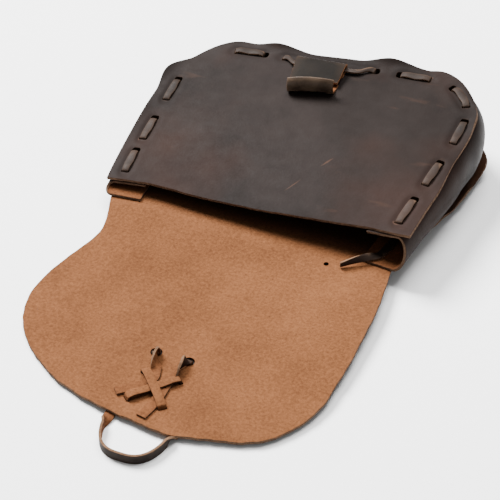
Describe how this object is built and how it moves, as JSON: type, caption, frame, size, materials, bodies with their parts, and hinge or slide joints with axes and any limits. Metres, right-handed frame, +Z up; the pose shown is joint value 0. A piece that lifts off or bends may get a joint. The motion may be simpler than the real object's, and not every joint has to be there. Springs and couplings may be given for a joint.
{
  "type": "medieval belt pouch",
  "caption": "Flat leather belt pouch lying open: laced panels with a wide gusset, a long rounded flap with a closure loop, a hooked closure tab and belt straps on the back.",
  "frame": {"origin": "on the surface the pouch lies on, under the middle of the whole pouch with its flap laid out", "axes": "+X across the pouch to the viewer's right, +Y from the flap's tip towards the pouch's base, +Z up away from the surface"},
  "size_m": [0.205, 0.3282, 0.0534],
  "materials": {
    "grain_leather": "oiled dark brown grain side",
    "flesh_leather": "raw tan flesh side with a fine nap",
    "thong_leather": "waxed dark brown thong with tan cut edges",
    "dyed_leather": "oiled dark brown strip with tan cut edges",
    "tie_leather": "raw tan flesh side thong"
  },
  "bodies": {
    "root": {"front_panel": "grain_leather", "gusset": "grain_leather", "back_flap": "flesh_leather", "front_lace": "thong_leather", "back_lace": "thong_leather", "closure_tab": "dyed_leather", "closure_loop": "thong_leather", "cross_tie": "tie_leather", "belt_strap_left": "grain_leather", "belt_strap_right": "grain_leather"}
  },
  "joints": []
}
